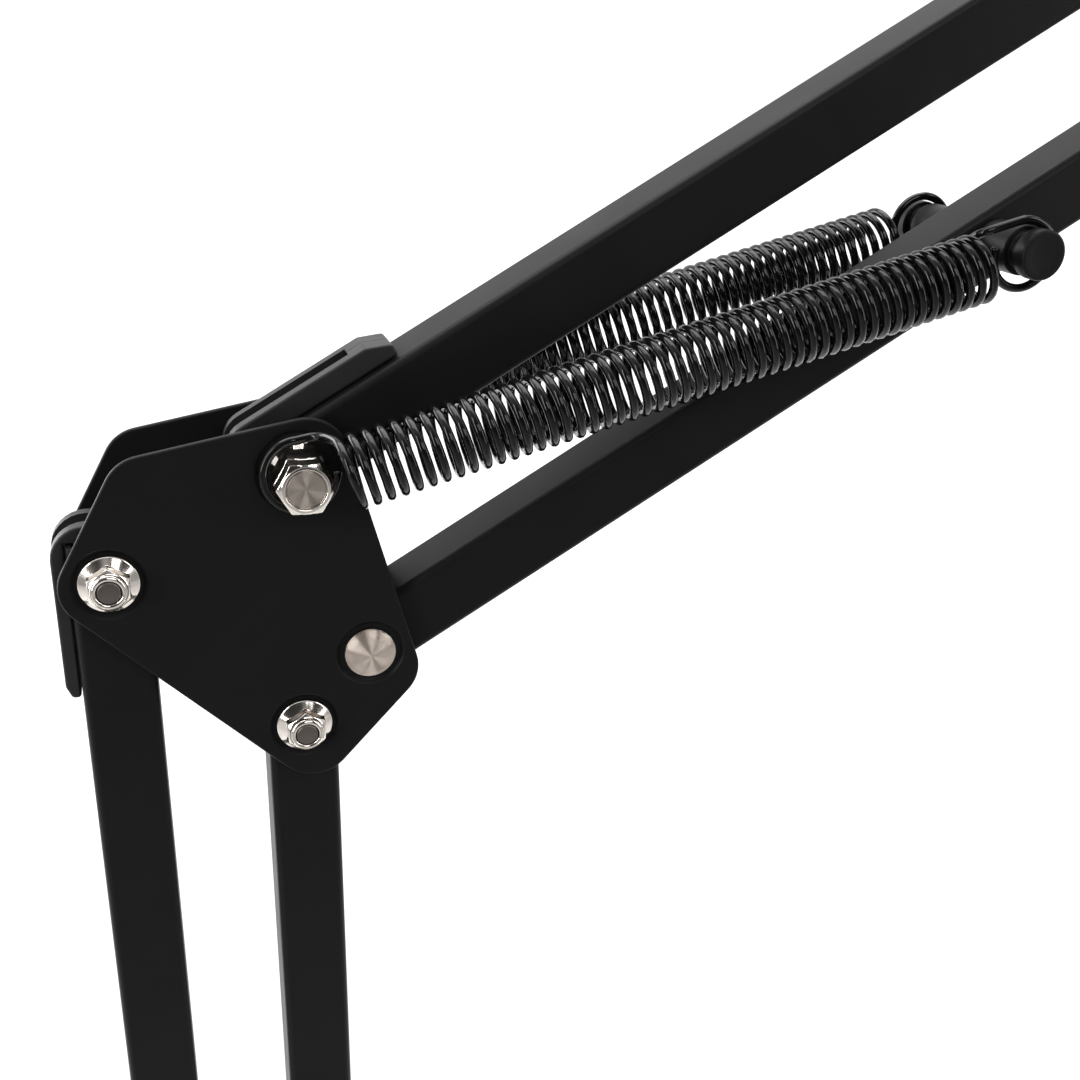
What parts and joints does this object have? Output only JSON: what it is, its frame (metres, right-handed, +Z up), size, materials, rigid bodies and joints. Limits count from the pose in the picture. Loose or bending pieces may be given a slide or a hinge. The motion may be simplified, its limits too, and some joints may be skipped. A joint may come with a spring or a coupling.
{
  "type": "desktop microphone stand",
  "caption": "Desk-clamp microphone boom arm: two sprung parallelogram sections of square tube, plate elbow, swivel base and tilting threaded head.",
  "frame": {"origin": "middle of the jaw pad's lower rubber face, where it rests on the desk top, below the swivel axis", "axes": "+Z up along the swivel axis, +X the way the upper arm reaches, -Y towards the viewer of the picture"},
  "size_m": [0.437, 0.076, 0.7553],
  "materials": {
    "black_coat": "satin black powder coat on steel",
    "bright_nickel": "bright nickel plate on steel",
    "black_spring_wire": "gloss black coated spring wire",
    "black_nylon": "moulded black nylon",
    "black_rubber": "matt black rubber"
  },
  "bodies": {
    "clamp": {"clamp_frame": "black_coat", "jaw_pad": "black_rubber", "socket_bush": "black_nylon"},
    "lock": {"lock_screw": "bright_nickel", "lock_knob": "black_nylon"},
    "pressure_pad": {"pressure_rubber": "black_rubber", "pressure_disc": "bright_nickel"},
    "clamp_screw": {"clamp_screw": "bright_nickel", "clamp_handle": "bright_nickel"},
    "base": {"base_spigot": "bright_nickel", "base_block": "black_coat", "base_plate_front": "black_coat", "base_plate_rear": "black_coat", "base_spring_bolt": "bright_nickel", "base_spring_nut_front": "bright_nickel", "base_spring_nut_rear": "bright_nickel", "base_bolt": "bright_nickel", "base_nut": "bright_nickel"},
    "lower_left": {"lower_bar_left": "black_coat", "lower_bar_guide": "black_nylon", "lower_left_plug": "black_nylon"},
    "lower_right": {"lower_bar_right": "black_coat", "lower_right_plug_foot": "black_nylon", "lower_right_plug_top": "black_nylon", "lower_spring_post": "black_coat"},
    "lower_spring_coils": {"lower_spring_coil_front": "black_spring_wire", "lower_spring_coil_rear": "black_spring_wire"},
    "lower_spring_hooks": {"lower_spring_hook_front": "black_spring_wire", "lower_spring_hook_rear": "black_spring_wire"},
    "elbow": {"elbow_plate_front": "black_coat", "elbow_plate_rear": "black_coat", "elbow_bolt_left": "bright_nickel", "elbow_bolt_right": "bright_nickel", "elbow_nut_left": "bright_nickel", "elbow_nut_right": "bright_nickel", "elbow_rivet": "bright_nickel", "elbow_spring_bolt": "bright_nickel", "elbow_spring_nut_front": "bright_nickel", "elbow_spring_nut_rear": "bright_nickel"},
    "upper_top": {"upper_bar_top": "black_coat", "upper_bar_guide": "black_nylon", "upper_top_plug": "black_nylon"},
    "upper_bottom": {"upper_bar_bottom": "black_coat", "upper_bottom_plug_near": "black_nylon", "upper_bottom_plug_far": "black_nylon", "upper_spring_post": "black_coat"},
    "upper_spring_coils": {"upper_spring_coil_front": "black_spring_wire", "upper_spring_coil_rear": "black_spring_wire"},
    "upper_spring_hooks": {"upper_spring_hook_front": "black_spring_wire", "upper_spring_hook_rear": "black_spring_wire"},
    "head": {"head_plate_front": "black_coat", "head_plate_rear": "black_coat", "head_rivet_top": "bright_nickel", "head_rivet_bottom": "bright_nickel", "tilt_bolt": "bright_nickel"},
    "tilt_knob": {"tilt_knob": "black_nylon"},
    "tongue": {"mic_tongue": "bright_nickel", "mic_stud": "bright_nickel", "thread_adapter": "bright_nickel"}
  },
  "joints": [
    {"name": "base_swivel", "type": "hinge", "parent": "clamp", "child": "base", "pos_m": [0, 0, 0.0424], "axis": [0, 0, 1], "continuous": true},
    {"name": "lower_arm", "type": "hinge", "parent": "base", "child": "lower_left", "pos_m": [-0.01829, 0, 0.10468], "axis": [0, 1, 0], "range_deg": [-22, 60]},
    {"name": "lower_arm_parallel", "type": "hinge", "parent": "base", "child": "lower_right", "pos_m": [0.01829, 0, 0.0677], "axis": [0, 1, 0], "range_deg": [-22, 60]},
    {"name": "elbow_level", "type": "hinge", "parent": "lower_left", "child": "elbow", "pos_m": [-0.01829, 0, 0.44468], "axis": [0, 1, 0], "range_deg": [-60, 22]},
    {"name": "upper_arm", "type": "hinge", "parent": "elbow", "child": "upper_top", "pos_m": [0.01956, 0, 0.4652], "axis": [0, -1, 0], "range_deg": [-45, 35]},
    {"name": "upper_arm_parallel", "type": "hinge", "parent": "elbow", "child": "upper_bottom", "pos_m": [0.03288, 0, 0.42324], "axis": [0, -1, 0], "range_deg": [-45, 35]},
    {"name": "head_level", "type": "hinge", "parent": "upper_top", "child": "head", "pos_m": [0.31375, 0, 0.63566], "axis": [0, -1, 0], "range_deg": [-35, 45]},
    {"name": "mic_tilt", "type": "hinge", "parent": "head", "child": "tongue", "pos_m": [0.35775, 0, 0.61366], "axis": [0, -1, 0], "range_deg": [-90, 90]},
    {"name": "tilt_knob_turn", "type": "hinge", "parent": "head", "child": "tilt_knob", "pos_m": [0.35775, 0, 0.61366], "axis": [0, 1, 0], "range_deg": [-360, 360]},
    {"name": "lock_screw_turn", "type": "hinge", "parent": "clamp", "child": "lock", "pos_m": [0, 0, 0.0263], "axis": [-1, 0, 0], "range_deg": [-360, 360]},
    {"name": "pad_travel", "type": "slide", "parent": "clamp", "child": "pressure_pad", "axis": [0, 0, 1], "range_m": [-0.0145, 0.027]},
    {"name": "clamp_screw_turn", "type": "hinge", "parent": "pressure_pad", "child": "clamp_screw", "pos_m": [0, 0, -0.03], "axis": [0, 0, 1], "range_deg": [-4170, 7770]},
    {"name": "upper_spring_swing", "type": "hinge", "parent": "elbow", "child": "upper_spring_coils", "pos_m": [0.01956, 0, 0.4652], "axis": [0, -1, 0], "range_deg": [-31.61, 24.59]},
    {"name": "upper_spring_stretch", "type": "slide", "parent": "upper_spring_coils", "child": "upper_spring_hooks", "axis": [-0.8457, 0, 0.5337], "range_m": [-0.04756, 0.03701], "deforming": ["upper_spring_coil_front", "upper_spring_coil_rear", "upper_spring_hook_front", "upper_spring_hook_rear"]},
    {"name": "lower_spring_swing", "type": "hinge", "parent": "base", "child": "lower_spring_coils", "pos_m": [-0.01829, 0, 0.10468], "axis": [0, 1, 0], "range_deg": [-15, 40.88]},
    {"name": "lower_spring_stretch", "type": "slide", "parent": "lower_spring_coils", "child": "lower_spring_hooks", "axis": [0.9628, 0, 0.2701], "range_m": [-0.03175, 0.08642], "deforming": ["lower_spring_coil_front", "lower_spring_coil_rear", "lower_spring_hook_front", "lower_spring_hook_rear"]}
  ],
  "couplings": [
    {"joint": "lower_arm_parallel", "follows": "lower_arm", "ratio": 1},
    {"joint": "elbow_level", "follows": "lower_arm", "ratio": -1},
    {"joint": "lower_spring_swing", "follows": "lower_arm", "ratio": 0.681},
    {"joint": "lower_spring_stretch", "follows": "lower_arm", "m_per_rad": 0.082425},
    {"joint": "upper_arm_parallel", "follows": "upper_arm", "ratio": 1},
    {"joint": "head_level", "follows": "upper_arm", "ratio": -1},
    {"joint": "upper_spring_swing", "follows": "upper_arm", "ratio": 0.702},
    {"joint": "upper_spring_stretch", "follows": "upper_arm", "m_per_rad": 0.060428},
    {"joint": "pad_travel", "follows": "clamp_screw_turn", "m_per_rad": 0.00019894}
  ]
}
